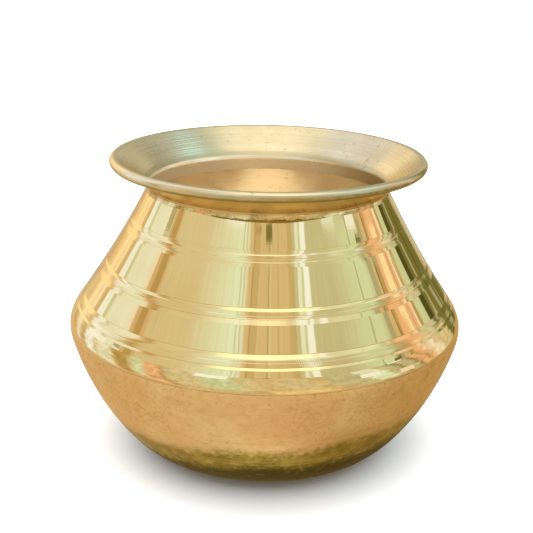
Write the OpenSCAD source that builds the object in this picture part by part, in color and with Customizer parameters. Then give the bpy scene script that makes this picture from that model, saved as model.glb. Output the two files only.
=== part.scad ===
// Brass water pot (kalash form) in beaten and spun sheet.
// A round-bottomed bowl and a sloping shoulder meet in a brazed lap at the belly.
// A flared mouth, its edge rolled over a wire, is brazed into the top of the shoulder.
// Millimetres. The pot stands on z = 0, and +Z is the axis it was turned about.

/* [Sheet] */
// Thickness of the brass sheet
sheet_t = 1.2; // [0.8:0.1:1.6]
// Gap left between fitted pieces for the braze to run into
fit_gap = 0.05; // [0.04:0.01:0.1]

/* [Body] */
// Diameter of the pot at its widest
belly_d = 220; // [212:2:240]
// Height of the widest point
belly_z = 73.5; // [66:0.5:90]
// Radius that the wall turns through at the belly
belly_round = 16; // [13:1:19]
// Radius of the long curve of the wall below the belly
wall_round = 144; // [130:1:150]
// Radius of the tighter curve low on the bowl
low_round = 77; // [70:1:90]
// Radius of the shoulder's slight hollow
cone_round = 512; // [450:10:800]

/* [Seam at the belly] */
// Heading of the wall where bowl and shoulder meet, past straight up
seam_past = 5; // [3:1:7]
// Arc of the belly that the bowl's tongue reaches up inside the shoulder
lap_arc = 22; // [14:1:26]

/* [Turned bands] */
// Place of the lowest band, as a fraction of the way up from belly to neck
low_band = 0.2; // [0.2:0.01:0.3]
// Place of the middle band, as a fraction of the same way
middle_band = 0.45; // [0.4:0.01:0.6]
// Place of the highest band, as a fraction of the same way
high_band = 0.77; // [0.7:0.01:0.85]
// Widths of the lowest band's lower and upper grooves
low_grooves = [1.2, 1.6]; // [1:0.1:2.6]
// Widths of the middle band's lower and upper grooves
middle_grooves = [2.4, 1.5]; // [1:0.1:2.6]
// Widths of the highest band's lower and upper grooves
high_grooves = [1.8, 2.4]; // [1:0.1:2.6]
// Height between the middles of a band's two grooves
band_gap = 5.1; // [4:0.1:7]
// Depth of a groove
groove_depth = 0.25; // [0.1:0.05:0.4]

/* [Mouth] */
// Inside radius of the throat
throat_r = 64.4; // [62:0.1:68]
// Length of the throat's straight collar below the fold
collar_len = 6; // [4:0.5:9]
// Radius of the fold between collar and flare, on the side seen from inside
fold_round = 4; // [3:0.5:6]
// Angle of the flare above level
flare = 41; // [36:1:48]
// Height of the fold above the shoulder's top edge
neck_rise = 1.4; // [1.2:0.1:4]
// Radius from the axis to the centre of the rolled edge
rim_r = 82.9; // [76:0.1:90]
// Diameter of the wire inside the rolled edge
wire_d = 2.8; // [2:0.1:4]

/* [Hidden] */
$fn = 96;

// Largest gap between a curve and the straight steps that draw it
sag = 0.02;
// Headings are measured from level: 0 points outwards and 90 points straight up.
// Each arc of the wall begins at the heading where the one below it ends.
low_start = 46;
wall_start = 54;
belly_start = 76;
cone_start = 126.3;
seam = 90 + seam_past;
// Shift towards the inside of the tongue that fits up inside the shoulder
lap_depth = sheet_t + fit_gap;
// Arcs over which the bowl's wall steps inwards just below the seam
step_near = 3;
step_far = 12;
// Width of the shoulder's flat top edge, where it meets the collar
land_w = 0.6;
// Angle of the fold that the neck's braze climbs
neck_braze_turn = 15;
// Arc of the belly left clear above the tongue, and the arc above that which the braze covers
belly_clear_arc = 0.3;
belly_braze_arc = 6;
// Braze stands this far off the pieces it joins
braze_gap = 0.04;

// Points of the wall's arcs. An arc that bends outwards has its centre on the axis side;
// the shoulder's hollow has its centre outside the pot, so its radius counts as negative.
function on_arc(c, r, h) = [c.x + r * sin(h), c.y - r * cos(h)];
belly_c = [belly_d / 2 - belly_round, belly_z];
wall_c = on_arc(belly_c, belly_round - wall_round, belly_start);
low_c = on_arc(wall_c, wall_round - low_round, wall_start);
// The foot's arc starts where the low curve ends and runs level into the flat base.
foot_round = on_arc(low_c, low_round, low_start).y / (1 - cos(low_start));
foot_c = on_arc(low_c, low_round - foot_round, low_start);
cone_c = on_arc(belly_c, belly_round + cone_round, cone_start);

// Steps that keep an arc within the sag, and the points after its first one
function steps(r, turn) = max(2, ceil(abs(turn) / (sqrt(8 * sag / abs(r)) * 180 / PI)));
function arc(c, r, from, to) =
    let (n = steps(r, to - from))
    [for (i = [1:n]) on_arc(c, r, from + (to - from) * i / n)];
function reverse(v) = [for (i = [len(v) - 1:-1:0]) v[i]];

// Heading of the shoulder's hollow at a height, and at a radius, for a skin at depth d
function cone_heading_at_z(z) = acos((z - cone_c.y) / cone_round);
function cone_heading_at_r(r, d) = 180 - asin((cone_c.x - r) / (cone_round + d));
function on_cone(h, d) = on_arc(cone_c, -(cone_round + d), h);

// Hole in the shoulder's top, which the mouth's collar fits, with a narrow flat edge round it
hole_r = throat_r + sheet_t + fit_gap;
land_end = on_cone(cone_heading_at_r(hole_r + land_w, 0), 0);

// Skin of the bowl at depth d below its outer face, from the flat base up to a heading
function bowl_skin(d, top) = concat(
    [[0, d], [foot_c.x, d]],
    arc(foot_c, foot_round - d, 0, low_start),
    arc(low_c, low_round - d, low_start, wall_start),
    arc(wall_c, wall_round - d, wall_start, belly_start),
    arc(belly_c, belly_round - d, belly_start, top));

// Bowl with the tongue that fits up inside the shoulder
module lower_bowl() {
    tongue_top = seam + lap_arc;
    outside = concat(
        bowl_skin(0, seam),
        [on_arc(belly_c, belly_round - lap_depth, seam)],
        arc(belly_c, belly_round - lap_depth, seam, tongue_top));
    tongue_inside = concat(
        [on_arc(belly_c, belly_round - lap_depth - sheet_t, seam - step_near)],
        arc(belly_c, belly_round - lap_depth - sheet_t, seam - step_near, tongue_top));
    inside = concat(bowl_skin(sheet_t, seam - step_far), tongue_inside);
    color([0.72, 0.52, 0.26]) rotate_extrude() polygon(concat(outside, reverse(inside)));
}

// Height and width of every groove, lowest first: each band has one below and one above its middle
bands = [[low_band, low_grooves], [middle_band, middle_grooves], [high_band, high_grooves]];
grooves = [for (b = bands, i = [0, 1])
    [belly_z + b[0] * (land_end.y - belly_z) + (i - 0.5) * band_gap, b[1][i]]];
// A groove's floor leans: from its lower edge it runs inwards up to a narrow lip at its top edge.
lip = 0.25;
function groove(z, w) = [
    on_cone(cone_heading_at_z(z + w / 2 - lip), groove_depth),
    on_cone(cone_heading_at_z(z + w / 2), 0)];
// Ungrooved stretch of the shoulder's hollow between two heights
function plain_cone(from_z, to_z) =
    arc(cone_c, -cone_round, cone_heading_at_z(from_z), cone_heading_at_z(to_z));

// Hollow sloping shoulder from the seam at the belly to the land at the neck
module shoulder_shell() {
    top_in = cone_heading_at_r(hole_r, sheet_t);
    belly_top_z = on_arc(belly_c, belly_round, cone_start).y;
    plain_from = concat([belly_top_z], [for (g = grooves) g[0] + g[1] / 2]);
    hollow = [for (i = [0:len(grooves) - 1], g = [grooves[i]])
        each concat(plain_cone(plain_from[i], g[0] - g[1] / 2), groove(g[0], g[1]))];
    outside = concat(
        [on_arc(belly_c, belly_round, seam)],
        arc(belly_c, belly_round, seam, cone_start),
        hollow,
        plain_cone(plain_from[len(grooves)], land_end.y),
        [[hole_r, land_end.y]]);
    inside = concat(
        [on_arc(belly_c, belly_round - sheet_t, seam)],
        arc(belly_c, belly_round - sheet_t, seam, cone_start),
        arc(cone_c, -(cone_round + sheet_t), cone_start, top_in));
    color([0.86, 0.74, 0.42]) rotate_extrude() polygon(concat(outside, reverse(inside)));
}

// The fold turns the collar outwards into the flare.
fold_z = land_end.y + neck_rise;
fold_c = [throat_r + fold_round, fold_z];
// The rolled edge is sheet wrapped round the wire. The flare runs level with the roll's top.
wire_hole_r = wire_d / 2 + fit_gap;
bead_r = wire_hole_r + sheet_t;
flare_foot = [fold_c.x - fold_round * sin(flare), fold_z + fold_round * cos(flare)];
flare_rise = (rim_r - bead_r * sin(flare) - flare_foot.x) * tan(flare);
rim_c = [rim_r, flare_foot.y + flare_rise - bead_r * cos(flare)];
// The roll starts square to the flare, and stops just short of the flare's underside.
roll_start = 90 + flare;
roll_stop = roll_start + acos((wire_hole_r - 2 * fit_gap) / bead_r) - 360;
function on_ring(c, r, a) = [c.x + r * cos(a), c.y + r * sin(a)];
function ring_arc(c, r, from, to) =
    let (n = steps(r, to - from))
    [for (i = [0:n]) on_ring(c, r, from + (to - from) * i / n)];

// Collar, fold, flare and rolled edge in one piece of sheet
module flared_mouth() {
    upper = concat(
        [[throat_r, fold_z - collar_len]],
        ring_arc(fold_c, fold_round, 180, roll_start),
        ring_arc(rim_c, bead_r, roll_start, roll_stop));
    lower = concat(
        [[throat_r + sheet_t, fold_z - collar_len]],
        ring_arc(fold_c, fold_round - sheet_t, 180, roll_start),
        ring_arc(rim_c, wire_hole_r, roll_start, roll_stop));
    color([0.70, 0.62, 0.42]) rotate_extrude() polygon(concat(upper, reverse(lower)));
}

// Wire that stiffens the rolled edge
module rim_wire() {
    color([0.55, 0.45, 0.28]) rotate_extrude() translate(rim_c) circle(d = wire_d);
}

// Fillet of braze on top of the tongue, inside the belly
module belly_braze() {
    low = seam + lap_arc + belly_clear_arc;
    high = low + belly_braze_arc;
    skin_r = belly_round - sheet_t - braze_gap;
    fillet = concat(
        [on_arc(belly_c, skin_r - sheet_t, low), on_arc(belly_c, skin_r, low)],
        arc(belly_c, skin_r, low, high));
    color([0.88, 0.76, 0.48]) rotate_extrude() polygon(fillet);
}

// Fillet of braze that closes the crease between shoulder and mouth
module neck_braze() {
    gap = fit_gap + braze_gap;
    inner_r = throat_r + sheet_t + gap;
    low = land_end.y + braze_gap;
    fillet = concat(
        [[inner_r, low], [land_end.x, low]],
        reverse(ring_arc(fold_c, fold_round - sheet_t - gap, 180, 180 - neck_braze_turn)));
    color([0.88, 0.76, 0.48]) rotate_extrude() polygon(fillet);
}

lower_bowl();
shoulder_shell();
flared_mouth();
rim_wire();
belly_braze();
neck_braze();
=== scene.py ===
"""Brass pot: turned and polished shoulder, satin bowl, flared mouth with a rolled edge.

Shapes are in millimetres in the CAD frame (z = 0 under the flat base, +Z up the axis), and MM
turns them into metres, which materials use. Every piece is a closed outline turned about the axis.
"""
import math

import bpy
import numpy as np
from mathutils import Matrix, Vector


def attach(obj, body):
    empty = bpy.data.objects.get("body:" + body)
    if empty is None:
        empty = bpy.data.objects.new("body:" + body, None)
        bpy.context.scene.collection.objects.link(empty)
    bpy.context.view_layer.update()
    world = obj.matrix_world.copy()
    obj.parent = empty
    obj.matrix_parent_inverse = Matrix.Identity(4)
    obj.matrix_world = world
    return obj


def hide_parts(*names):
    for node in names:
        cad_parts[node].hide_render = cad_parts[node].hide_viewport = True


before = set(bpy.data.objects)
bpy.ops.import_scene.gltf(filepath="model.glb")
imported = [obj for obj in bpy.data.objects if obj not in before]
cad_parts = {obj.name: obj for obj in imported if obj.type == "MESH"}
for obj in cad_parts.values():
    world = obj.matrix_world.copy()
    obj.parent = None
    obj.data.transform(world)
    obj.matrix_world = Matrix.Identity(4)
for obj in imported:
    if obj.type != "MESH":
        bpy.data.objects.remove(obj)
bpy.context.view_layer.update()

MM = 0.001
SEGMENTS = 256       # steps round the axis
SHARP_ANGLE = 40     # edges sharper than this, in degrees, are shaded sharp

# ---- dimensions, as the CAD model has them ------------------------------------------------
SHEET = 1.2
GAP = 0.05
BELLY_R = 110.0
BELLY_Z = 73.5
BELLY_ROUND = 16.0
WALL_ROUND = 144.0
LOW_ROUND = 77.0
CONE_ROUND = 512.0
# headings: 0 points outwards, 90 points straight up; each arc starts where the last one ends
LOW_START = 46.0
WALL_START = 54.0
BELLY_START = 76.0
CONE_START = 126.3
SEAM = 95.0
LAP = 22.0
# arcs below the seam between which the inside of the bowl's wall steps inwards to its tongue
STEP_FAR = 12.0
STEP_NEAR = 3.0
THROAT_R = 64.4
COLLAR = 6.0
FOLD_ROUND = 4.0
FLARE = 41.0
NECK_RISE = 1.4
RIM_R = 82.9
WIRE_D = 2.8
LAND = 0.6           # width of the shoulder's flat top edge
BRAZE_GAP = 0.04     # braze stands this far off the pieces it joins
BELLY_CLEAR = 0.3    # arc of the belly left clear above the tongue
BELLY_BRAZE = 6.0    # arc above that which the belly's braze covers
NECK_BRAZE = 15.0    # angle of the fold that the neck's braze climbs
# each band: its place between belly and neck, the widths of its lower and upper grooves, and
# their depth; here polish has worn the highest band shallower than the CAD model has it
BANDS = ((0.20, (1.2, 1.6), 0.25), (0.45, (2.4, 1.5), 0.25), (0.77, (1.8, 2.4), 0.13))
BAND_GAP = 5.1       # height between the middles of a band's two grooves
LIP = 0.12           # height of a groove's lip, finer than the CAD model's
# details that only the visual model has
SCRIBE_HEIGHTS = (26.4, 29.1)
SCRIBE_HALF = 0.28
SCRIBE_DEPTH = 0.09
BAND_LINE_HALF = 0.22
BAND_LINE_DEPTH = 0.03
SEAM_CLEAR = 1.2     # arc of the bowl's wall left below the seam for its rounded corner
BOWL_CORNER = 0.25   # how far the rounded corners reach along the seam's edges
SHOULDER_CORNER = 0.3
BAND_LEAN = 0.011    # outward lean of the strip between a band's grooves
NECK_RUN = 0.4       # how far the neck's braze runs down the shoulder
# the shoulder is drawn in by this much just above the belly, from and to these heights
EASE = 0.22
EASE_IN = (75.6, 80.6)
EASE_OUT = (80.0, 88.0)
# tool marks along the flare: size, angle in radians for each mm, and phase
TOOL_MARKS = ((0.010, 4.1, 0.0), (0.008, 6.7, 1.3), (0.008, 2.3, 0.4))


def on_arc(c, r, h):
    """Point of the arc about c at which the skin's heading is h."""
    a = math.radians(h)
    return (c[0] + r * math.sin(a), c[1] - r * math.cos(a))


def arc(c, r, start, stop, step=1.6):
    """Points along an arc, both ends included, about one step apart."""
    n = max(2, math.ceil(abs(math.radians(stop - start) * r) / step))
    return [on_arc(c, r, start + (stop - start) * i / n) for i in range(n + 1)]


belly_c = (BELLY_R - BELLY_ROUND, BELLY_Z)
wall_c = on_arc(belly_c, BELLY_ROUND - WALL_ROUND, BELLY_START)
low_c = on_arc(wall_c, WALL_ROUND - LOW_ROUND, WALL_START)
foot_round = on_arc(low_c, LOW_ROUND, LOW_START)[1] / (1 - math.cos(math.radians(LOW_START)))
foot_c = on_arc(low_c, LOW_ROUND - foot_round, LOW_START)
cone_c = on_arc(belly_c, BELLY_ROUND + CONE_ROUND, CONE_START)
hole_r = THROAT_R + SHEET + GAP


def on_cone(z, depth):
    """Point of the shoulder whose outer face is at height z, moved inwards by depth."""
    h = math.degrees(math.acos((z - cone_c[1]) / CONE_ROUND))
    return on_arc(cone_c, -(CONE_ROUND + depth), h)


def cone_z(r, depth):
    """Height at which the shoulder's skin at that depth reaches radius r."""
    h = math.pi - math.asin((cone_c[0] - r) / (CONE_ROUND + depth))
    return cone_c[1] + (CONE_ROUND + depth) * math.cos(h)


land_z = cone_z(hole_r + LAND, 0)
cone_start_z = on_arc(belly_c, BELLY_ROUND, CONE_START)[1]
band_heights = [BELLY_Z + band[0] * (land_z - BELLY_Z) for band in BANDS]
grooves = [(z + (i - 0.5) * BAND_GAP, widths[i], depth)
           for z, (_, widths, depth) in zip(band_heights, BANDS) for i in (0, 1)]


def smooth(value, low, high):
    """0 below low and 1 above high, with a smooth step between."""
    t = min(1.0, max(0.0, (value - low) / (high - low)))
    return t * t * (3 - 2 * t)


def band_depth(z):
    """Depth of the turned bands at height z: a groove's floor leans in up to its lip."""
    for middle, width, depth in grooves:
        foot, top = middle - width / 2, middle + width / 2
        if foot < z < top:
            return depth * min((z - foot) / (width - LIP), (top - z) / LIP)
    for middle in band_heights:
        if abs(z - middle) < BAND_GAP / 2:
            line = max(0.0, 1 - ((z - middle) / BAND_LINE_HALF) ** 2)
            return BAND_LINE_DEPTH * line - BAND_LEAN * (z - middle)
    return 0.0


def scribe_depth(z):
    """Depth of the round-bottomed lines scribed low on the bowl."""
    near = [abs(z - middle) / SCRIBE_HALF for middle in SCRIBE_HEIGHTS]
    return SCRIBE_DEPTH * max(0.0, 1 - min(near) ** 2)


def ease(z):
    """Drawing-in of the shoulder just above the belly, so that its turn has no hard start."""
    return EASE * smooth(z, *EASE_IN) * (1 - smooth(z, *EASE_OUT))


def groove_edges():
    """Heights at every corner of the grooves and just beside it, and across the bands' lines."""
    beside = 0.06
    corners = [z for m, w, _ in grooves for z in (m - w / 2, m + w / 2 - LIP, m + w / 2)]
    across = (-1.2, -1, -0.5, 0, 0.5, 1, 1.2)
    lines = [m + BAND_LINE_HALF * u for m in band_heights for u in across]
    return [z + side * beside for z in corners for side in (-1, 0, 1)] + lines


def scribe_edges():
    """Heights across the scribed lines."""
    return [m + SCRIBE_HALF * u for m in SCRIBE_HEIGHTS for u in np.linspace(-1.3, 1.3, 9)]


def heights(low, high, step, close):
    """Heights at which an outline has points: the close ones given, and even steps off them."""
    apart = 0.2
    even = [z for z in np.arange(low, high, step) if all(abs(z - c) > apart for c in close)]
    return sorted(set(np.round([low, high] + even + [c for c in close if low < c < high], 4)))


def curve(a, b, c, n):
    """Smooth bend from a to c, which leaves and arrives along the lines to b."""
    a, b, c = Vector(a), Vector(b), Vector(c)
    steps = [i / n for i in range(n + 1)]
    return [tuple(a * (1 - t) ** 2 + b * 2 * t * (1 - t) + c * t * t) for t in steps]


def corner(a, b, c, radius):
    """Round off the corner at b between a and c."""
    a, b, c = Vector(a), Vector(b), Vector(c)
    p = b + (a - b).normalized() * min(radius, (a - b).length / 2)
    q = b + (c - b).normalized() * min(radius, (c - b).length / 2)
    return curve(p, b, q, 4)


# ---- outlines -----------------------------------------------------------------------------
def bowl_wall(depth, cut=lambda z: 0.0, close=()):
    """Bowl's skin from the edge of its flat base to the start of the belly, less any cuts."""
    points = arc(foot_c, foot_round - depth, 0, LOW_START)
    points += arc(low_c, LOW_ROUND - depth, LOW_START, WALL_START)[1:]
    low, high = (on_arc(wall_c, WALL_ROUND, h)[1] for h in (WALL_START, BELLY_START))
    for z in heights(low, high, 1.8, close)[1:]:
        h = math.degrees(math.acos((wall_c[1] - z) / WALL_ROUND))
        points.append(on_arc(wall_c, WALL_ROUND - depth - cut(z), h))
    return points


def base(z):
    """Flat base from the axis to just short of its edge."""
    return [(r, z) for r in np.linspace(0, foot_c[0], 12)[:-1]]


def bowl_outline():
    """Bowl with the tongue that fits up inside the shoulder."""
    lap = SHEET + GAP
    top = SEAM + LAP
    outside = base(0.0) + bowl_wall(0, scribe_depth, scribe_edges())
    outside += arc(belly_c, BELLY_ROUND, BELLY_START, SEAM - SEAM_CLEAR)[1:]
    edge = on_arc(belly_c, BELLY_ROUND, SEAM)
    step_in = on_arc(belly_c, BELLY_ROUND - lap, SEAM)
    outside += corner(outside[-1], edge, step_in, BOWL_CORNER)
    outside += arc(belly_c, BELLY_ROUND - lap, SEAM, top)
    inside = base(SHEET) + bowl_wall(SHEET)
    inside += arc(belly_c, BELLY_ROUND - SHEET, BELLY_START, SEAM - STEP_FAR)[1:]
    inside += arc(belly_c, BELLY_ROUND - lap - SHEET, SEAM - STEP_NEAR, top)
    return outside, inside


def shoulder_outline():
    """Sloping shoulder with its bands, from the seam to the flat edge of the hole in its top."""
    edge = on_arc(belly_c, BELLY_ROUND, SEAM)
    up = on_arc(belly_c, BELLY_ROUND, SEAM + 2)
    across = on_arc(belly_c, BELLY_ROUND - SHEET, SEAM)
    outside = corner(across, edge, up, SHOULDER_CORNER)
    outside += arc(belly_c, BELLY_ROUND, SEAM + 2, CONE_START, 0.7)
    close = groove_edges()
    outside += [on_cone(z, band_depth(z)) for z in heights(cone_start_z, land_z, 1.4, close)[1:]]
    outside = [(r - ease(z), z) for r, z in outside] + [(hole_r, land_z)]
    inside = [across] + arc(belly_c, BELLY_ROUND - SHEET, SEAM, CONE_START)[1:]
    low, high = cone_start_z, cone_z(hole_r, SHEET)
    inside += [on_cone(z, SHEET) for z in np.linspace(low, high, 36)[1:]]
    return outside, inside


fold_z = land_z + NECK_RISE
fold_c = (THROAT_R + FOLD_ROUND, fold_z)
wire_hole = WIRE_D / 2 + GAP
bead_r = wire_hole + SHEET
flare_rad = math.radians(FLARE)
flare_sin, flare_cos = math.sin(flare_rad), math.cos(flare_rad)
flare_foot = (fold_c[0] - FOLD_ROUND * flare_sin, fold_z + FOLD_ROUND * flare_cos)
flare_rise = (RIM_R - bead_r * flare_sin - flare_foot[0]) * math.tan(flare_rad)
rim_c = (RIM_R, flare_foot[1] + flare_rise - bead_r * flare_cos)


def ring(c, r, start, stop, n):
    """Points round a circle, at angles from straight outwards towards straight up."""
    angles = np.radians(np.linspace(start, stop, n + 1))
    return [(c[0] + r * math.cos(a), c[1] + r * math.sin(a)) for a in angles]


def tool_marks(s):
    """Height of the tool marks at a distance s along the flare."""
    return sum(size * math.sin(s * rate + phase) for size, rate, phase in TOOL_MARKS)


def marked_flare(head):
    """Upper face of the flare from its foot to its head, with tool marks that fade at its ends."""
    fade_length = 3.0
    foot, head = Vector(flare_foot), Vector(head)
    along = (head - foot).normalized()
    normal = Vector((-along.y, along.x))
    length = (head - foot).length
    points = []
    for s in np.linspace(0, length, 110)[1:-1]:
        fade = min(1, s / fade_length, (length - s) / fade_length)
        points.append(tuple(foot + along * s + normal * tool_marks(s) * fade))
    return points


def collar(r):
    """Straight collar from its lower end to just below the fold."""
    return [(r, z) for z in np.linspace(fold_z - COLLAR, fold_z, 8)[:-1]]


def mouth_outline():
    """Collar, fold, flare and rolled edge in one piece of sheet."""
    start = 90 + FLARE
    stop = start + math.degrees(math.acos((wire_hole - 2 * GAP) / bead_r)) - 360
    top = ring(rim_c, bead_r, start, stop, 60)
    upper = collar(THROAT_R) + ring(fold_c, FOLD_ROUND, 180, start, 16) + marked_flare(top[0]) + top
    lower = collar(THROAT_R + SHEET) + ring(fold_c, FOLD_ROUND - SHEET, 180, start, 12)
    hidden = ring(rim_c, wire_hole, start, stop, 40)
    under_foot, under_head = Vector(lower[-1]), Vector(hidden[0])
    lower += [tuple(under_foot.lerp(under_head, t)) for t in np.linspace(0, 1, 14)[1:-1]]
    return upper, lower + hidden


def wire_outline():
    """Round wire inside the rolled edge, as an outer and an inner half."""
    loop = ring(rim_c, WIRE_D / 2, -90, 270, 32)[:-1]
    return loop[:16], loop[16:][::-1]


def neck_braze_outline():
    """Fillet from a little way down the shoulder, where it thins to nothing, into the fold."""
    gap = GAP + BRAZE_GAP
    fold = ring(fold_c, FOLD_ROUND - SHEET - gap, 180, 180 - NECK_BRAZE, 4)
    low = on_cone(land_z - NECK_RUN, 0)
    edge = (hole_r + LAND, land_z + BRAZE_GAP)
    high = fold[-1]
    # the face leaves along the shoulder's slope and arrives along the fold's lean
    slope = math.acos((land_z - cone_c[1]) / CONE_ROUND)
    lean = math.radians(90 - NECK_BRAZE)
    rise = high[1] - edge[1] - (high[0] - edge[0]) * math.tan(lean)
    along = rise / (math.sin(slope) - math.cos(slope) * math.tan(lean))
    bend = (edge[0] + along * math.cos(slope), edge[1] + along * math.sin(slope))
    return curve(low, bend, high, 12), [edge, (THROAT_R + SHEET + gap, edge[1])] + fold[:-1]


def belly_braze_outline():
    """Fillet on top of the tongue, inside the belly, with a hollow face."""
    low = SEAM + LAP + BELLY_CLEAR
    high = low + BELLY_BRAZE
    skin = BELLY_ROUND - SHEET - BRAZE_GAP
    toe = on_arc(belly_c, skin - SHEET, low)
    hollow = on_arc(belly_c, skin - SHEET * 0.42, (low + high) / 2)
    return arc(belly_c, skin, low, high, 0.5), [toe, hollow]


# ---- turning an outline into a mesh --------------------------------------------------------
# Hand work: the sheet is a little out of round, the mouth sits a little to the right of the
# belly's middle, and its front is a little low. Each wave has a count round the pot, a size, a
# phase, and a length up the axis.
WAVES = ((2, 0.16, 0.3, 300), (3, 0.08, 1.9, 170), (5, 0.035, 4.0, 90), (9, 0.018, 0.8, 55),
         (14, 0.010, 2.6, 34), (23, 0.006, 5.1, 27))
WAVE_TWIST = 37.0    # rise over which the waves turn by a radian
WAVES_FULL = 12.0    # height above which the waves have their full size
MOUTH_ASIDE = 0.6
ASIDE_RISE = (60, 180)
MOUTH_TILT = 0.007
TILT_RISE = (148, 160)
LUMP_COUNTS = (7, 17, 29, 41, 59)    # of the braze's lumps round the pot


def wobble(theta, z):
    """Radial error of the sheet at some angles and a height; there is none at the base."""
    total = np.zeros_like(theta)
    for count, size, phase, length in WAVES:
        round_pot = np.sin(count * theta + phase + z / WAVE_TWIST)
        total += size * round_pot * np.cos(2 * np.pi * z / length + phase)
    return total * min(1, z / WAVES_FULL)


def hand_made(r, theta, z, bumps):
    """Ring that the outline's point (r, z) turns into, in metres, with the errors of hand work."""
    rr = r + wobble(theta, z) + bumps
    x = rr * np.cos(theta) + MOUTH_ASIDE * smooth(z, *ASIDE_RISE)
    y = rr * np.sin(theta)
    zz = z + MOUTH_TILT * y * smooth(z, *TILT_RISE)
    return [(a * MM, b * MM, c * MM) for a, b, c in zip(x, y, zz)]


def skin_faces(rows, on_axis, outer_points):
    """Faces between neighbouring rings, and for each a 1 if it is on the inside, or else a 0."""
    faces, inner = [], []
    for i, a in enumerate(rows):
        after = (i + 1) % len(rows)
        b = rows[after]
        if on_axis[i] and on_axis[after]:
            continue
        for k in range(SEGMENTS):
            m = (k + 1) % SEGMENTS
            quad = [a[k], a[m], b[m], b[k]]
            # on the axis two corners are one
            faces.append([v for j, v in enumerate(quad) if v not in quad[:j]])
            inner.append(int(i >= outer_points - 1))
    return faces, inner


def turned(name, node, outline, mats, lumps=0.0):
    """A closed solid of revolution from (outside, inside) paths that start at the same end.

    mats holds the outside's material and, where it differs, the inside's."""
    outside, inside = outline
    loop = list(outside) + list(inside)[::-1]
    on_axis = [r < 1e-6 for r, _ in loop]
    theta = np.arange(SEGMENTS) * 2 * np.pi / SEGMENTS
    bumps = lumps * sum(np.sin(n * theta + n) for n in LUMP_COUNTS) / len(LUMP_COUNTS)
    verts, rows = [], []
    for (r, z), axis in zip(loop, on_axis):
        if axis:
            rows.append([len(verts)] * SEGMENTS)
            verts.append((0, 0, z * MM))
        else:
            rows.append(list(range(len(verts), len(verts) + SEGMENTS)))
            verts += hand_made(r, theta, z, bumps)
    faces, inner = skin_faces(rows, on_axis, len(outside))
    mesh = bpy.data.meshes.new(name)
    mesh.from_pydata(verts, [], faces)
    mesh.validate()
    for mat in mats:
        mesh.materials.append(mat)
    mesh.polygons.foreach_set("material_index", [min(side, len(mats) - 1) for side in inner])
    mesh.polygons.foreach_set("use_smooth", [True] * len(faces))
    mesh.set_sharp_from_angle(angle=math.radians(SHARP_ANGLE))
    mesh.update()
    piece = bpy.data.objects.new(name, mesh)
    bpy.context.scene.collection.objects.link(piece)
    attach(piece, "root")
    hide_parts(node)
    return piece


# ---- materials ----------------------------------------------------------------------------
class Nodes:
    """Adds nodes to a node tree and links them."""

    def __init__(self, tree):
        self.tree = tree

    def put(self, socket, value):
        """Link a socket, or set it."""
        if isinstance(value, bpy.types.NodeSocket):
            self.tree.links.new(value, socket)
        else:
            socket.default_value = value

    def add(self, kind, **inputs):
        """New node, with its inputs by name."""
        node = self.tree.nodes.new(kind)
        for key, value in inputs.items():
            self.put(node.inputs[key.replace("_", " ")], value)
        return node

    def math(self, operation, a, b=0.0):
        node = self.tree.nodes.new("ShaderNodeMath")
        node.operation = operation
        self.put(node.inputs[0], a)
        self.put(node.inputs[1], b)
        return node.outputs[0]

    def plus(self, a, b):
        return self.math("ADD", a, b)

    def times(self, a, b):
        return self.math("MULTIPLY", a, b)

    def swing(self, noise):
        """A noise moved to lie evenly about zero."""
        return self.math("SUBTRACT", noise, 0.5)

    def away(self, value, middle):
        """Distance of a value from a middle."""
        return self.math("ABSOLUTE", self.math("SUBTRACT", value, middle))

    def remap(self, value, low, high, to_low=0.0, to_high=1.0):
        """Smooth step of a value from low to high."""
        node = self.tree.nodes.new("ShaderNodeMapRange")
        node.interpolation_type = "SMOOTHSTEP"
        for key, v in (("Value", value), ("From Min", low), ("From Max", high),
                       ("To Min", to_low), ("To Max", to_high)):
            self.put(node.inputs[key], v)
        return node.outputs[0]

    def mix(self, factor, a, b):
        """Colour that goes from a to b with the factor."""
        node = self.tree.nodes.new("ShaderNodeMix")
        node.data_type = "RGBA"
        # a colour mix takes the factor at socket 0 and the colours at 6 and 7
        self.put(node.inputs[0], factor)
        self.put(node.inputs[6], a)
        self.put(node.inputs[7], b)
        return node.outputs[2]

    def over(self, base, top, where, amount):
        """A colour laid over another in some places, by at most that amount."""
        return self.mix(self.times(where, amount), base, top)

    def tinted(self, a, b):
        """Product of two colours."""
        product = self.mix(1.0, a, b)
        product.node.blend_type = "MULTIPLY"
        return product

    def noise(self, vector, scale, detail=4.0, rough=0.55, distortion=0.0):
        node = self.add("ShaderNodeTexNoise", Scale=scale, Detail=detail, Roughness=rough,
                        Distortion=distortion, Vector=vector)
        return node.outputs[0]

    def ramp(self, value, stops):
        """Colour ramp with its stops at the places given."""
        node = self.tree.nodes.new("ShaderNodeValToRGB")
        low, high = stops[0][0], stops[-1][0]
        self.put(node.inputs[0], self.math("DIVIDE", self.math("SUBTRACT", value, low), high - low))
        elements = node.color_ramp.elements
        while len(elements) < len(stops):
            elements.new(1.0)
        for element, (place, rgb) in zip(elements, stops):
            element.position = (place - low) / (high - low)
            element.color = (*rgb, 1)
        return node.outputs[0]


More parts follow.
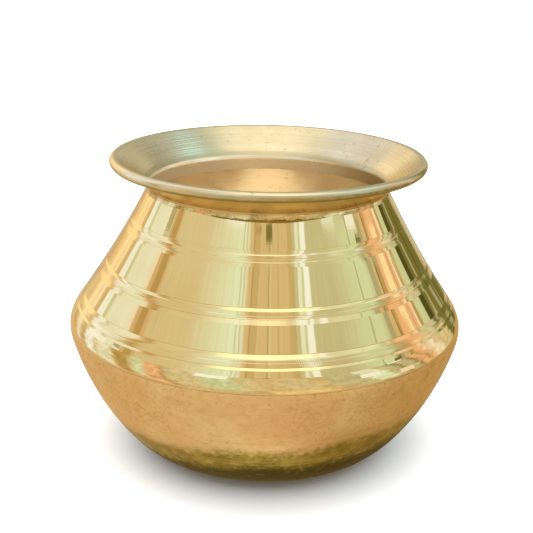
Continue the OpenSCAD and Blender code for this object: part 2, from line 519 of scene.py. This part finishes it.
class Metal(Nodes):
    """A metal material, with the places that its patterns are laid out by."""

    def __init__(self, name, edge_tint):
        self.mat = bpy.data.materials.new(name)
        self.mat.use_nodes = True
        super().__init__(self.mat.node_tree)
        self.bsdf = self.tree.nodes["Principled BSDF"]
        self.bsdf.inputs["Metallic"].default_value = 1.0
        self.bsdf.inputs["Specular Tint"].default_value = colour(*edge_tint)
        self.coords = self.tree.nodes.new("ShaderNodeTexCoord").outputs["Object"]
        self.x, self.y, self.z = self.add("ShaderNodeSeparateXYZ", Vector=self.coords).outputs
        normal = self.tree.nodes.new("ShaderNodeNewGeometry").outputs["Normal"]
        self.facing_up = self.add("ShaderNodeSeparateXYZ", Vector=normal).outputs["Z"]

    def stretch(self, x, y, z):
        """Coordinates scaled along each axis, for noises drawn out along the others."""
        node = self.tree.nodes.new("ShaderNodeMapping")
        node.inputs["Scale"].default_value = (x, y, z)
        self.put(node.inputs["Vector"], self.coords)
        return node.outputs[0]

    def around(self):
        return self.math("ARCTAN2", self.y, self.x)

    def radius(self):
        square = self.plus(self.times(self.x, self.x), self.times(self.y, self.y))
        return self.math("SQRT", square)

    def ragged(self, scale, size):
        """Height along the axis, shifted here and there, for borders that wander."""
        wander = self.swing(self.noise(self.coords, scale, 6, 0.7))
        return self.plus(self.z, self.times(wander, size))

    def bump(self, height, strength, distance, under=None):
        """Normal raised by a height, on top of another bump's where one is given."""
        node = self.add("ShaderNodeBump", Height=height, Strength=strength, Distance=distance)
        if under is not None:
            self.put(node.inputs["Normal"], under)
        return node.outputs["Normal"]

    def finish(self, base, roughness, normal):
        """Connect the shader, and hand over the material."""
        self.put(self.bsdf.inputs["Base Color"], base)
        self.put(self.bsdf.inputs["Roughness"], roughness)
        self.put(self.bsdf.inputs["Normal"], normal)
        return self.mat


def colour(r, g, b):
    """Opaque colour from its light in red, green and blue."""
    return (r, g, b, 1.0)


# tint of the metal's reflection at grazing angles, outside the pot and inside it
EDGE_TINT = (0.95, 0.86, 0.68)
INNER_EDGE_TINT = (1.0, 0.96, 0.86)
# the metal's own colours, those of what lies on it, and painted light and shade
POLISHED = colour(0.82, 0.66, 0.32)
POLISHED_WARM = colour(0.80, 0.60, 0.27)
SEAM_BROWN = colour(0.66, 0.46, 0.20)
# painted light: the inside's brass, lighter than the outside's, stands in for light reaching the inside
INNER_LIT = colour(1.00, 0.87, 0.63)
INNER_LIT_DULL = colour(0.97, 0.78, 0.52)
SATIN = colour(0.80, 0.55, 0.24)
SATIN_PALE = colour(0.88, 0.67, 0.34)
SATIN_RED = colour(0.80, 0.48, 0.23)
SATIN_DARK = colour(0.56, 0.36, 0.13)
# olive patina, partly painted shade where the bowl mirrors the shade at its foot; the darkest is mostly
# the painted shadow of the foot
PATINA_AND_SHADE = colour(0.25, 0.19, 0.022)
PATINA_AND_SHADE_PALE = colour(0.40, 0.31, 0.06)
PATINA_AND_FOOT_SHADOW = colour(0.075, 0.058, 0.012)
SPECK = colour(0.30, 0.19, 0.07)
STAIN = colour(0.50, 0.37, 0.13)
# painted shade: darker towards the bowl's sides
SIDE_SHADE = colour(0.42, 0.27, 0.07)
TURNED = colour(0.80, 0.68, 0.43)
TURNED_DARK = colour(0.68, 0.57, 0.35)
# painted shade in the fold's crease
FOLD_SHADE = colour(0.46, 0.39, 0.22)
# tarnish, partly painted shade under the flare and the rolled edge
TARNISH_AND_SHADE = colour(0.36, 0.31, 0.13)
BRAZE = colour(0.80, 0.62, 0.28)
BRAZE_DARK = colour(0.62, 0.43, 0.16)
BRAZE_SCALE = colour(0.26, 0.16, 0.05)
WIRE = colour(0.60, 0.46, 0.24)
WIRE_DARK = colour(0.46, 0.33, 0.16)

INNER_METALLIC = 0.76  # the unpolished inside is partly a dull oxide
# the bands' fine tool marks: radians of their wave for a radian round the pot and a metre up it
TICKS = 620
TICK_LEAN = 1800
POLISH_EDGE = 75.4   # height at which the polish stops, near the seam


def polished_brass():
    """Mirror polish with faint turning lines, and ticked, slightly duller bands."""
    s = Metal("polished brass", EDGE_TINT)
    turn = s.noise(s.stretch(3, 3, 1500), 1.0, 3, 0.6)
    cloud = s.noise(s.coords, 24, 4)
    smears = s.noise(s.stretch(1, 1, 0.35), 70, 5, 0.6, 0.4)
    base = s.mix(s.remap(cloud, 0.35, 0.75), POLISHED, POLISHED_WARM)
    rough = s.remap(smears, 0.35, 0.8, 0.02, 0.055)
    # each band is duller all over, and ticked between its grooves
    ticks = 0.0
    for z in band_heights:
        off = s.away(s.z, z * MM)
        between = s.remap(off, 2.0 * MM, 1.4 * MM)
        whole = s.remap(off, 3.9 * MM, 3.3 * MM)
        rough = s.plus(rough, s.times(whole, s.remap(turn, 0.3, 0.7, 0.02, 0.08)))
        ticks = s.plus(ticks, between)
    comb = s.math("SINE", s.plus(s.times(s.around(), TICKS), s.times(s.z, TICK_LEAN)))
    height = s.times(s.times(comb, ticks), s.remap(cloud, 0.4, 0.6, 0.1, 0.7))
    height = s.plus(height, s.times(turn, 0.2))
    worn = s.remap(s.ragged(45, 0.004), (POLISH_EDGE + 0.8) * MM, (POLISH_EDGE - 0.6) * MM)
    base = s.over(base, SEAM_BROWN, worn, 0.8)
    rough = s.plus(rough, s.times(worn, 0.22))
    return s.finish(base, rough, s.bump(height, 0.06, 0.0001))


def inner_brass():
    """The inside of the pot: as spun, with faint rings, in a colour lighter than the outside's brass, a
    painted light that stands in for light reaching the inside.
    """
    s = Metal("inner brass", INNER_EDGE_TINT)
    rings = s.noise(s.stretch(4, 4, 900), 1.0, 3, 0.6)
    cloud = s.noise(s.coords, 30, 5)
    spots = s.remap(s.noise(s.coords, 210, 3, 0.6), 0.62, 0.70)
    # painted light: both colours are the brass made lighter for the light reaching the inside
    base = s.mix(s.remap(cloud, 0.35, 0.7), INNER_LIT, INNER_LIT_DULL)
    base = s.over(base, SATIN_DARK, spots, 0.35)
    s.bsdf.inputs["Metallic"].default_value = INNER_METALLIC
    return s.finish(base, s.remap(rings, 0.3, 0.7, 0.17, 0.25), s.bump(rings, 0.12, 0.0002))


def satin_marks(s, base, fine, brushed):
    """Brushing, specks, stains and curled marks on the bowl: its colour, and the curls."""
    swirl = s.noise(s.coords, 60, 4, 0.55, 4.0)
    # curled marks of the polishing cloth, only in places
    curls = s.remap(s.away(swirl, 0.5), 0.022, 0.004)
    curls = s.times(curls, s.remap(s.noise(s.coords, 14, 2), 0.48, 0.60))
    base = s.over(base, SATIN_DARK, curls, 0.62)
    base = s.over(base, SATIN_DARK, s.remap(brushed, 0.5, 0.75), 0.30)
    base = s.over(base, SATIN_DARK, s.remap(fine, 0.45, 0.70), 0.35)
    base = s.over(base, SPECK, s.remap(s.noise(s.coords, 520, 2, 0.5), 0.68, 0.74), 0.45)
    base = s.over(base, STAIN, s.remap(s.noise(s.coords, 34, 5, 0.65), 0.58, 0.70), 0.55)
    return base, curls


def patina_and_shade(s, base, fine, height):
    """Painted shade towards the sides, then olive patina with painted shade, then dark patina and the
    painted shadow of the foot lowest of all; thin on the scribed lines.
    """
    # painted shade: the bowl darker low down and away from its middle, left to right
    side_shade = s.times(s.remap(height, 0.050, 0.034), s.remap(s.away(s.x, 0.008), 0.012, 0.035))
    base = s.over(base, SIDE_SHADE, side_shade, 0.40)
    kept = s.remap(fine, 0.50, 0.66, 1.0, 0.72)
    for line in SCRIBE_HEIGHTS:
        kept = s.times(kept, s.remap(s.away(s.z, line * MM), 0.0005, 0.0002, 1.0, 0.72))
    olive = s.mix(s.remap(s.noise(s.coords, 80, 5, 0.7), 0.42, 0.62), PATINA_AND_SHADE, PATINA_AND_SHADE_PALE)
    # olive patina, partly painted shade of the bowl's lower part
    base = s.over(base, olive, s.remap(height, 0.0410, 0.0335), kept)
    # dark patina and the painted shadow of the foot, lowest of all
    return s.over(base, PATINA_AND_FOOT_SHADOW, s.remap(height, 0.030, 0.018), kept)


def satin_brass():
    """The bowl: mottled satin with marks of polishing, under an olive patina and painted shade near the
    base.
    """
    s = Metal("satin brass", EDGE_TINT)
    blotch = s.noise(s.coords, 22, 6, 0.65, 0.4)
    tint = s.noise(s.stretch(1, 1, 1.7), 15, 4, 0.6)
    fine = s.noise(s.coords, 260, 5, 0.7)
    brushed = s.noise(s.stretch(9, 9, 560), 1.0, 4, 0.65)
    base = s.mix(s.remap(blotch, 0.36, 0.64), SATIN_PALE, SATIN)
    base = s.over(base, SATIN_RED, s.remap(tint, 0.46, 0.66), 0.6)
    base, curls = satin_marks(s, base, fine, brushed)
    # height as the patina and the painted shade see it: they reach up more towards the right, and less
    # at both sides
    height = s.plus(s.ragged(30, 0.016), s.times(s.x, -0.085))
    height = s.plus(height, s.times(s.away(s.x, 0.0), 0.05))
    height = s.plus(height, s.times(s.swing(fine), 0.014))
    base = patina_and_shade(s, base, fine, height)
    rough = s.plus(s.remap(fine, 0.25, 0.75, 0.25, 0.38), s.times(brushed, 0.08))
    rough = s.plus(rough, s.remap(height, 0.034, 0.020, 0.0, 0.26))
    grain = s.bump(s.plus(s.times(fine, 0.6), s.times(brushed, 0.8)), 0.22, 0.0002)
    return s.finish(base, rough, s.bump(s.plus(blotch, s.times(curls, 0.3)), 0.22, 0.0005, grain))


def tarnish_and_shade(s, base, radius, outside):
    """Olive tarnish and painted shade under the flare, set by which way each face points, heaviest
    under the rolled edge and towards the right.
    """
    # painted shade: faces that point down, under the flare, are darker
    under = s.times(s.remap(s.facing_up, 0.62, -0.10), outside)
    under = s.times(under, s.remap(radius, 0.0765, 0.0805, 0.27, 1.0))
    # painted shade on the rolled edge's lower side
    bead_low = s.times(s.remap(s.facing_up, -0.1, -0.50), s.remap(radius, 0.0785, 0.0805))
    side = s.remap(s.x, -0.06, 0.045, 0.3, 1.15)
    under = s.times(under, s.math("MAXIMUM", side, s.times(bead_low, 1.5)))
    mottled = s.remap(s.noise(s.coords, 150, 4, 0.6), 0.35, 0.65, 0.55, 0.95)
    return s.over(base, TARNISH_AND_SHADE, under, mottled)


def turned_brass():
    """The mouth: greyish satin with tool marks, painted shade at the fold, and the inside's lighter
    colour, a painted light, in the throat below.
    """
    s = Metal("turned brass", EDGE_TINT)
    rings = s.noise(s.stretch(0, 0, 1500), 1.0, 4, 0.65)
    broad = s.noise(s.stretch(2, 2, 330), 1.0, 3, 0.6)
    cloud = s.noise(s.coords, 40, 5)
    base = s.mix(s.remap(s.plus(cloud, s.times(broad, 0.6)), 0.55, 1.05), TURNED, TURNED_DARK)
    radius = s.radius()
    # everything beyond the collar's inner face
    outside = s.remap(radius, 0.0650, 0.0655)
    # tarnish and painted shade under the flare and the rolled edge
    base = tarnish_and_shade(s, base, radius, outside)
    nicks = s.remap(s.noise(s.coords, 330, 2, 0.5), 0.66, 0.72)
    base = s.over(base, SPECK, nicks, 0.4)
    throat = s.times(s.remap(radius, 0.0652, 0.0645), s.math("SUBTRACT", 1.0, outside))
    # painted light: the throat takes the inside's lighter colour
    base = s.mix(throat, base, INNER_LIT)
    # painted shade along the fold's crease
    fold = s.times(s.remap(s.away(radius, 0.0657), 0.0020, 0.0004), s.remap(s.facing_up, -0.2, 0.1))
    base = s.over(base, FOLD_SHADE, fold, 0.5)
    rough = s.remap(s.plus(rings, s.times(cloud, 0.5)), 0.5, 1.1, 0.20, 0.34)
    rough = s.remap(throat, 0.0, 1.0, rough, 0.22)
    rough = s.plus(rough, s.times(fold, 0.12))
    s.put(s.bsdf.inputs["Metallic"], s.remap(throat, 0.0, 1.0, 1.0, INNER_METALLIC))
    return s.finish(base, rough, s.bump(s.plus(rings, s.times(broad, 0.7)), 0.16, 0.0002))


def braze_metal():
    """Braze: polished over with the sheet, but lumpier, with dark scale left in its hollows."""
    s = Metal("braze", EDGE_TINT)
    lumps = s.noise(s.coords, 240, 4, 0.6)
    base = s.mix(s.remap(lumps, 0.35, 0.65), BRAZE, BRAZE_DARK)
    base = s.over(base, BRAZE_SCALE, s.remap(s.noise(s.coords, 160, 4, 0.6), 0.52, 0.64), 0.6)
    return s.finish(base, s.remap(lumps, 0.3, 0.7, 0.05, 0.14), s.bump(lumps, 0.4, 0.0005))


def drawn_wire():
    """The wire: drawn smooth, with lengthwise die marks."""
    s = Metal("drawn wire", EDGE_TINT)
    streaks = s.noise(s.stretch(20, 20, 1600), 1.0, 3)
    base = s.mix(streaks, WIRE, WIRE_DARK)
    return s.finish(base, s.remap(streaks, 0.3, 0.7, 0.25, 0.4), s.bump(streaks, 0.2, 0.0001))


# ---- the pot ------------------------------------------------------------------------------
NECK_LUMPS = 0.09    # unevenness of the braze round the pot
BELLY_LUMPS = 0.1


def build_pot():
    """The six pieces, each in place of the CAD model's piece of the same kind."""
    inner = inner_brass()
    turned("bowl", "lower_bowl", bowl_outline(), [satin_brass(), inner])
    turned("shoulder", "shoulder_shell", shoulder_outline(), [polished_brass(), inner])
    turned("mouth", "flared_mouth", mouth_outline(), [turned_brass()])
    turned("wire", "rim_wire", wire_outline(), [drawn_wire()])
    braze = braze_metal()
    turned("neck_seam", "neck_braze", neck_braze_outline(), [braze], NECK_LUMPS)
    turned("belly_seam", "belly_braze", belly_braze_outline(), [braze], BELLY_LUMPS)


# ---- floor, light and camera --------------------------------------------------------------
def floor():
    """Plain pale floor."""
    half = 2.5
    corners = [(-half, -half, 0), (half, -half, 0), (half, half, 0), (-half, half, 0)]
    mesh = bpy.data.meshes.new("floor")
    mesh.from_pydata(corners, [], [(0, 1, 2, 3)])
    ground = bpy.data.objects.new("floor", mesh)
    bpy.context.scene.collection.objects.link(ground)
    mat = bpy.data.materials.new("floor")
    mat.use_nodes = True
    shader = mat.node_tree.nodes["Principled BSDF"]
    shader.inputs["Base Color"].default_value = colour(0.97, 0.97, 0.97)
    shader.inputs["Roughness"].default_value = 0.9
    shader.inputs["Specular IOR Level"].default_value = 0.0
    mesh.materials.append(mat)
    # the brass mirrors the studio's tan table instead
    ground.visible_glossy = False


def overhead():
    """Wide soft lamp that whitens the floor; the brass mirrors the studio instead."""
    data = bpy.data.lights.new("overhead", "AREA")
    data.shape = "SQUARE"
    data.size = 6.0
    data.energy = 240.0
    lamp = bpy.data.objects.new("overhead", data)
    bpy.context.scene.collection.objects.link(lamp)
    lamp.location = (0, 0, 3.0)
    lamp.visible_glossy = False


# The studio stands in for the room that the photograph's brass mirrors. Its lights and the places
# of its panels were typed in from readings of that photograph: the shoulder's colour at
# each angle, and the direction that each angle mirrors. Directions that the brass does not show
# are filled in freely.
# Light of the studio's surfaces
TAN = (0.83, 0.71, 0.56)
TAN_DIM = (0.72, 0.60, 0.42)
UMBER = (0.58, 0.47, 0.26)
BROWN = (0.80, 0.64, 0.50)
BROWN_DARK = (0.62, 0.47, 0.25)
GOLD = (0.84, 0.80, 0.70)
GOLD_BRIGHT = (1.04, 0.88, 0.60)
PALE_GREEN = (0.94, 1.20, 1.38)
KHAKI = (0.70, 0.75, 0.67)
KHAKI_DIM = (0.56, 0.57, 0.46)
SAGE = (0.75, 0.91, 0.86)
SAGE_LIGHT = (0.80, 1.04, 1.04)
DAYLIGHT = (1.00, 1.16, 1.45)
LIGHT = (1.09, 1.09, 1.30)
WHITE = (1.14, 1.34, 2.00)
SALMON = (1.05, 0.70, 0.58)
OLIVE = (0.22, 0.23, 0.09)
SOOT = (0.10, 0.11, 0.04)
SHADE = (0.54, 0.58, 0.52)
SHADE_PALE = (0.76, 0.77, 0.80)
GREY = (0.56, 0.58, 0.56)
CREAM = (1.22, 1.12, 0.98)
HAZE = (1.40, 1.62, 1.95)
TABLE = (0.84, 0.70, 0.54)
TABLE_DIM = (0.62, 0.47, 0.28)
TABLE_BRIGHT = (1.04, 0.92, 0.76)

# Upright panels all round the pot: the azimuth at which each ends, and its light, from one
# edge to the other. 0 is in front, and to the right is positive.
WALL = (
    (-150, GREY, BROWN), (-142, BROWN), (-139, TAN_DIM), (-134, LIGHT), (-132, GOLD),
    (-129, LIGHT), (-124, TAN_DIM),
    (-118, WHITE), (-115, SAGE), (-97, DAYLIGHT), (-94, LIGHT), (-91, BROWN), (-90, UMBER),
    (-86, BROWN_DARK), (-84, BROWN), (-58, GOLD), (-22, GOLD, PALE_GREEN), (-21, KHAKI),
    (-19, PALE_GREEN), (-18, KHAKI), (-15, DAYLIGHT, GOLD), (-12, TAN), (-11, UMBER),
    (-6, TAN_DIM), (2, TAN), (3, UMBER), (5, GOLD), (10, TAN), (11, TAN_DIM),
    (19, TAN), (24, TAN_DIM), (27, KHAKI), (30, DAYLIGHT), (32, SAGE),
    (37, WHITE), (56, KHAKI), (77, KHAKI, SAGE_LIGHT), (78, KHAKI_DIM), (86, SAGE_LIGHT),
    (88, SAGE), (92, SHADE), (95, TAN), (96, OLIVE), (98, BROWN_DARK), (108, SALMON),
    (109, BROWN_DARK), (111, SALMON), (113, LIGHT), (115, BROWN_DARK), (121, SAGE), (123, OLIVE),
    (125, SAGE), (127, SOOT), (130, OLIVE), (132, SHADE), (138, OLIVE), (139, SOOT),
    (148, OLIVE), (152, SHADE), (158, TAN), (180, GREY),
)
# What stands below the neck's line, and then lowest of all
SHELVES = (
    (-153, GREY, BROWN), (-146, GOLD), (-138, BROWN), (-131, LIGHT), (-124, BROWN), (-115, WHITE),
    (-112, GOLD), (-100, DAYLIGHT), (-98, GOLD), (-87, BROWN_DARK), (-84, GOLD),
    (-77, SAGE_LIGHT), (-66, SALMON), (-64, UMBER), (-42, GOLD), (-22, SAGE), (-10, GOLD),
    (4, TAN), (23, GOLD), (31, TAN), (53, KHAKI), (66, PALE_GREEN), (76, KHAKI), (77, OLIVE),
    (88, KHAKI), (89, OLIVE), (96, SALMON), (98, UMBER), (104, SALMON), (114, LIGHT),
    (130, GOLD), (138, OLIVE), (142, SHADE), (160, OLIVE), (180, GREY),
)
SKIRTING = (
    (-120, GREY, BROWN), (-105, LIGHT), (-98, GOLD), (-88, BROWN_DARK), (-66, SALMON), (-60, UMBER),
    (-22, TAN), (-12, TAN_DIM), (24, GOLD_BRIGHT), (40, BROWN), (60, KHAKI), (82, TAN),
    (104, CREAM), (118, BROWN_DARK), (180, OLIVE, GREY),
)
# Ceiling, which the flare mirrors
CEILING = (
    (-118, GREY, LIGHT), (-90, DAYLIGHT), (-42, GOLD), (66, CREAM), (94, SAGE_LIGHT), (125, SHADE),
    (180, GREY),
)
# Smaller things against the wall: azimuths from and to, heights above the neck's line from
# and to, and light
THINGS = (
    (-11, -5, -0.1, 0.25, UMBER), (-1, 5, -0.1, 0.8, OLIVE), (17, 22, -0.1, 0.2, UMBER),
    (-42, -22, -9.0, -0.25, WHITE), (54, 66, -8.0, -0.1, DAYLIGHT), (78, 87, -2.0, -0.3, WHITE),
    (-121, -105, -2.0, 0.3, WHITE), (-99, -94, 0.0, 0.8, KHAKI_DIM), (84, 89, -0.1, 0.8, OLIVE),
    (93, 98, 0.1, 0.7, SHADE), (101, 106, -0.4, 1.4, CREAM), (122, 126, -1.0, 0.9, SOOT),
    (56, 68, -18, -12, WHITE), (80, 90, -28, -18, LIGHT), (-66, -46, -31, -28, UMBER),
    (30, 36, 13, 31, WHITE), (39, 42, 13, 31, WHITE), (47, 53, 13, 31, WHITE),
    (119, 127, 3.2, 30, SHADE_PALE),
)
# Soft round patches: azimuth and elevation of the middle, half sizes across and up, and light
SIDE_GLOW = ((109, 49), (18, 14), (0.85, 1.50, 2.00))
BACK_GLOW = ((-146, 16), (24, 22), (1.40, 1.25, 1.08))
TOP_GLOW = ((10, 64), (74, 10), (1.90, 1.80, 1.60))
ZENITH = (1.34, 1.32, 1.25)
EDGE = 0.7           # degrees over which one panel turns into the next
LOW_EDGE = 3.0       # the same for the shelves, the skirting and the ceiling
MOST_STOPS = 28      # stops put in one colour ramp, which has room for 32
NECK_LINE = 40.2     # elevation that the top of the shoulder mirrors at the front
NECK_FALL = 0.0020   # fall of that elevation with the square of the azimuth


def panel_stops(panels, edge):
    """Stops of a colour ramp: two for each panel, just inside its edges."""
    stops = []
    start = -180
    for end, *lights in panels:
        half = min(edge, end - start) / 2
        stops += [(start + half, lights[0]), (end - half, lights[-1])]
        start = end
    return stops


class Studio(Nodes):
    """The world's nodes, with the direction of the light as azimuth and elevation in degrees.

    The height above the neck's line counts from what the top of the shoulder mirrors. It and the
    azimuth wander a little, so that edges are not ruled; straight and level are without that."""

    def __init__(self):
        world = bpy.data.worlds.new("studio")
        bpy.context.scene.world = world
        world.use_nodes = True
        world.node_tree.nodes.clear()
        super().__init__(world.node_tree)
        towards = self.tree.nodes.new("ShaderNodeTexCoord").outputs["Generated"]
        x, y, z = self.add("ShaderNodeSeparateXYZ", Vector=towards).outputs
        self.straight = self.math("DEGREES", self.math("ARCTAN2", x, self.times(y, -1.0)))
        self.height = self.math("DEGREES", self.math("ARCSINE", z))
        self.side = self.math("ABSOLUTE", self.straight)
        fall = self.times(self.times(self.straight, self.straight), NECK_FALL)
        self.level = self.plus(self.plus(self.height, -NECK_LINE), fall)

        # edges wander, most of all towards the sides
        wander = self.swing(self.noise(self.spread(self.straight, 0.06, self.height, 0.8), 1.0, 4, 0.6))
        sideways = self.times(wander, self.remap(self.side, 70, 110, 1.8, 6.5))
        self.azimuth = self.plus(self.straight, sideways)
        drift = self.swing(self.noise(self.spread(self.azimuth, 0.3), 1.0, 3, 0.6))
        reach = self.remap(self.math("ABSOLUTE", self.level), 0.0, 5.0, 0.12, 4.0)
        self.above = self.plus(self.level, self.times(drift, reach))
        lean = self.times(self.plus(self.above, self.times(wander, 30)), 0.4)
        self.aslant = self.plus(self.azimuth, lean)

    def spread(self, azimuth, wide, height=0.0, tall=0.0):
        """Place in a noise by direction, scaled across and up."""
        up = self.times(height, tall)
        return self.add("ShaderNodeCombineXYZ", X=self.times(azimuth, wide), Y=up).outputs[0]

    def ring(self, azimuth, panels, edge):
        """Colour ramps joined end to end, because one ramp is too short for all the panels."""
        stops = panel_stops(panels, edge)
        light = self.ramp(azimuth, stops[:MOST_STOPS])
        for i in range(MOST_STOPS, len(stops), MOST_STOPS):
            beyond = self.math("GREATER_THAN", azimuth, stops[i - 1][0])
            light = self.mix(beyond, light, self.ramp(azimuth, stops[i - 1:i + MOST_STOPS]))
        return light

    def glow(self, light, where, size, shine):
        """Soft round patch laid over the light."""
        across = self.math("DIVIDE", self.away(self.azimuth, where[0]), size[0])
        up = self.math("DIVIDE", self.away(self.height, where[1]), size[1])
        inside = self.plus(self.times(across, across), self.times(up, up))
        return self.mix(self.remap(inside, 1.0, 0.1), light, colour(*shine))

    def thing(self, light, left, right, low, high, shine):
        """Hard-edged patch between two azimuths and two heights above the neck's line."""
        across = self.times(self.away(self.straight, (left + right) / 2), 2 / (right - left))
        up = self.times(self.away(self.level, (low + high) / 2), 2 / (high - low))
        inside = self.remap(self.math("MAXIMUM", across, up), 1.08, 0.92)
        return self.mix(inside, light, colour(*shine))


def wall(n):
    """Panels from the neck's line up, with shelves and a skirting below them."""
    shelves = n.ring(n.aslant, SHELVES, LOW_EDGE)
    skirting = n.ring(n.aslant, SKIRTING, LOW_EDGE)
    lower = n.mix(n.remap(n.above, -33, -36), shelves, skirting)
    clutter = n.noise(n.spread(n.azimuth, 0.2, n.height, 0.12), 1.0, 4, 0.6, 0.6)
    lower = n.tinted(lower, n.remap(clutter, 0.3, 0.7, 0.84, 1.10))
    return n.mix(n.remap(n.above, -0.5, -1.0), n.ring(n.azimuth, WALL, EDGE), lower)


def hazed(n, light):
    """Haze over the top of the wall, strongest in front, which the bands' grooves mirror."""
    haze = n.times(n.remap(n.side, 10, 30, 0.45, 0.27), n.remap(n.azimuth, -58, -35, 0.2, 1.0))
    haze = n.times(haze, n.remap(n.azimuth, 80, 125, 1.0, 0.2))
    return n.over(light, colour(*HAZE), n.remap(n.above, 11.5, 13.5), haze)


def table(n):
    """Table that the pot stands on, dimmer to the right and bright at its foot."""
    top = n.mix(n.remap(n.azimuth, 30, 90), colour(*TABLE), colour(*TABLE_DIM))
    return n.mix(n.remap(n.height, -73, -80), top, colour(*TABLE_BRIGHT))


def studio():
    """World light: soft upright panels, a bright ceiling, and a tan table below."""
    n = Studio()
    light = hazed(n, wall(n))
    for patch in THINGS:
        light = n.thing(light, *patch)
    # faint upright streaks, as folds and posts give
    streaks = n.noise(n.spread(n.azimuth, 0.45), 1.0, 5, 0.75)
    light = n.tinted(light, n.remap(streaks, 0.25, 0.75, 0.91, 1.08))
    light = n.over(light, table(n), n.remap(n.above, -1, -3), n.remap(n.height, -8, -10))
    light = n.mix(n.remap(n.above, 31, 33), light, n.ring(n.azimuth, CEILING, LOW_EDGE))
    light = n.glow(light, *SIDE_GLOW)
    light = n.glow(light, *BACK_GLOW)
    light = n.mix(n.remap(n.height, 64, 72), light, colour(*ZENITH))
    light = n.glow(light, *TOP_GLOW)

    # straight to the camera it is the same plain white as the floor
    seen = n.tree.nodes.new("ShaderNodeLightPath").outputs["Is Camera Ray"]
    light = n.mix(seen, light, colour(1.0, 1.0, 1.0))
    back = n.add("ShaderNodeBackground", Color=light)
    n.put(n.tree.nodes.new("ShaderNodeOutputWorld").inputs[0], back.outputs[0])


def camera():
    """Close camera in front, looking down at the pot and rolled a little."""
    pitch = math.radians(20.5)
    roll = math.radians(1.08)
    distance = 0.548
    target = Vector((0, 0, 0.0825))
    data = bpy.data.cameras.new("camera")
    data.sensor_width = 36.0
    data.lens = 64.63
    data.shift_x = 0.0029
    data.shift_y = 0.0599
    view = bpy.data.objects.new("camera", data)
    bpy.context.scene.collection.objects.link(view)
    back = Vector((0, -math.cos(pitch), math.sin(pitch)))
    turn = Matrix.Rotation(math.radians(90) - pitch, 4, "X") @ Matrix.Rotation(roll, 4, "Z")
    view.matrix_world = Matrix.Translation(target + back * distance) @ turn
    bpy.context.scene.camera = view


camera()
build_pot()
floor()
overhead()
studio()
bpy.context.scene.view_settings.view_transform = "Standard"
